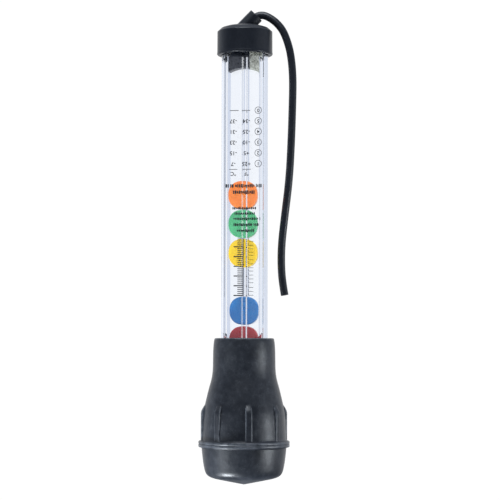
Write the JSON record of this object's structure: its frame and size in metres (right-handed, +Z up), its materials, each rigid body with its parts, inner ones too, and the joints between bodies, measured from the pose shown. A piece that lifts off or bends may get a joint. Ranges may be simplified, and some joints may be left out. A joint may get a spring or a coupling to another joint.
{
  "type": "floating disc coolant tester",
  "caption": "Hand-held floating-disc coolant tester with a rubber squeeze bulb, a clear ribbed float tube with coloured discs, and a capped spout with a thin suction hose.",
  "frame": {"origin": "tip of the squeeze bulb, on the axis of the float tube", "axes": "+Z up the float tube from the bulb to the cap; -Y out of the front flat that carries the scale; +X to the side on which the hose hangs"},
  "size_m": [0.0509, 0.0472, 0.2472],
  "materials": {
    "bulb_rubber": "matte, slightly dusty",
    "clear_plastic": "clear, polished",
    "cap_rubber": "satin",
    "strainer_foam": "open-cell foam",
    "stop_plastic": "matte",
    "disc_red": "satin",
    "disc_blue": "satin",
    "disc_yellow": "satin",
    "disc_green": "satin",
    "disc_orange": "satin",
    "hose_rubber": "satin"
  },
  "bodies": {
    "tester": {"squeeze_bulb": "bulb_rubber", "float_tube": "clear_plastic", "hose_cap": "cap_rubber", "strainer": "strainer_foam", "float_stop": "stop_plastic", "suction_hose": "hose_rubber"},
    "red_float": {"disc_red": "disc_red"},
    "blue_float": {"disc_blue": "disc_blue"},
    "yellow_float": {"disc_yellow": "disc_yellow"},
    "green_float": {"disc_green": "disc_green"},
    "orange_float": {"disc_orange": "disc_orange"}
  },
  "joints": [
    {"name": "red_rise", "type": "slide", "parent": "tester", "child": "red_float", "axis": [0, 0, 1], "range_m": [-0.0028, 0.01]},
    {"name": "blue_rise", "type": "slide", "parent": "red_float", "child": "blue_float", "axis": [0, 0, 1], "range_m": [-0.0003, 0.01]},
    {"name": "yellow_rise", "type": "slide", "parent": "blue_float", "child": "yellow_float", "axis": [0, 0, 1], "range_m": [-0.0148, 0.01]},
    {"name": "green_rise", "type": "slide", "parent": "yellow_float", "child": "green_float", "axis": [0, 0, 1], "range_m": [-0.0002, 0.01]},
    {"name": "orange_rise", "type": "slide", "parent": "green_float", "child": "orange_float", "axis": [0, 0, 1], "range_m": [0, 0.0165]}
  ]
}
